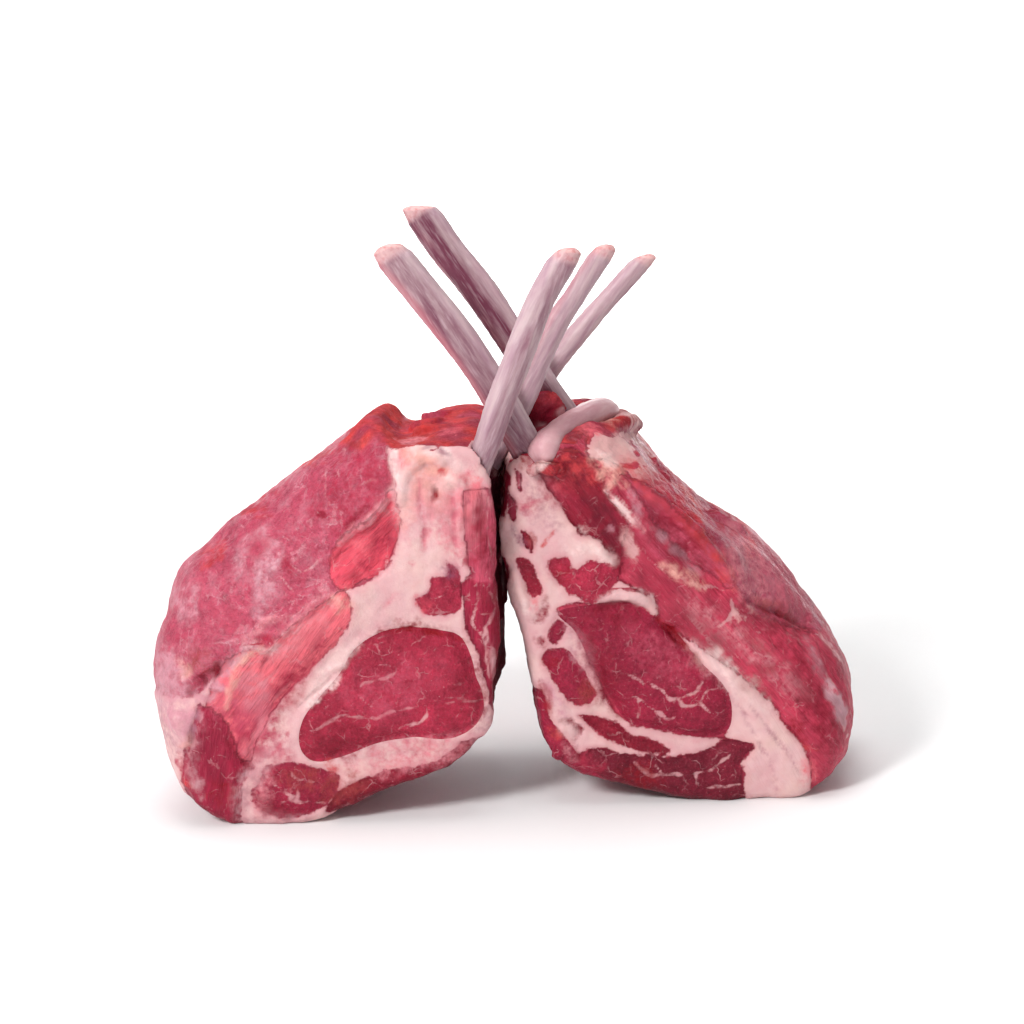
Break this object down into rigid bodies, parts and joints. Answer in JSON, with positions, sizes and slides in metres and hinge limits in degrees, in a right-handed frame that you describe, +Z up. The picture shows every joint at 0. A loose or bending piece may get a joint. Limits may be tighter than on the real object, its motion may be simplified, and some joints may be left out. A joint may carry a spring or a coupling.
{
  "type": "raw rack of lamb",
  "caption": "Raw frenched rack of lamb, a pair of trimmed racks stood together with their bared rib bones crossed above the meat.",
  "frame": {"origin": "under the middle of the whole, on the surface that the racks stand on", "axes": "+Z up along the standing racks, +X to the right seen from the cut faces, +Y away from the viewer along the length of the racks"},
  "size_m": [0.2414, 0.0852, 0.2045],
  "materials": {
    "red_meat": "raw lamb flesh and fat, wet",
    "loin_muscle": "raw lean muscle with marbling, wet",
    "rib_bone": "scraped bone with a damp membrane",
    "cartilage": "smooth damp cartilage"
  },
  "bodies": {
    "root": {"left_meat": "red_meat", "left_loin_eye": "loin_muscle", "left_rib_1": "rib_bone", "left_rib_2": "rib_bone", "left_rib_3": "rib_bone", "right_meat": "red_meat", "right_loin_eye": "loin_muscle", "right_blade_cartilage": "cartilage", "right_rib_1": "rib_bone", "right_rib_2": "rib_bone"}
  },
  "joints": []
}
